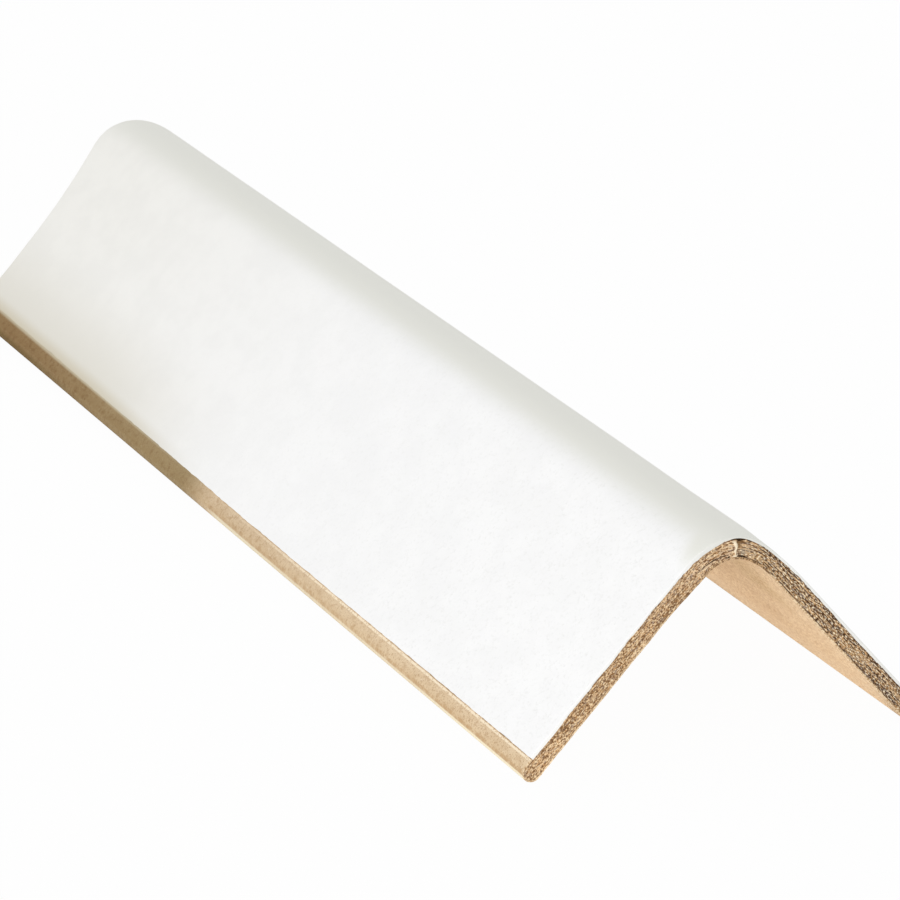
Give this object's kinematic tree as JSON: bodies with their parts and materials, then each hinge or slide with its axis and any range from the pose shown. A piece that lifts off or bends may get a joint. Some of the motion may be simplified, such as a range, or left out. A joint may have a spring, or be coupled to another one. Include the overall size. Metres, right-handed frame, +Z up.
{
  "type": "pallet edge protector",
  "caption": "Short length of laminated paperboard angle with a white outer sheet and kraft inner faces, set over the edge of a load so that straps and stacking do not crush it.",
  "frame": {"origin": "middle of the footprint, on the surface that the two leg edges stand on", "axes": "+Y along the length of the bend, +Z up to the bend, +X across the two legs"},
  "size_m": [0.066, 0.23, 0.0334],
  "materials": {
    "ply_core": "raw cut paperboard plies",
    "kraft_wrap": "matt natural kraft paper",
    "white_liner": "matt bleached white paper"
  },
  "bodies": {
    "root": {"ply_core": "ply_core", "kraft_wrap": "kraft_wrap", "white_liner": "white_liner"}
  },
  "joints": []
}
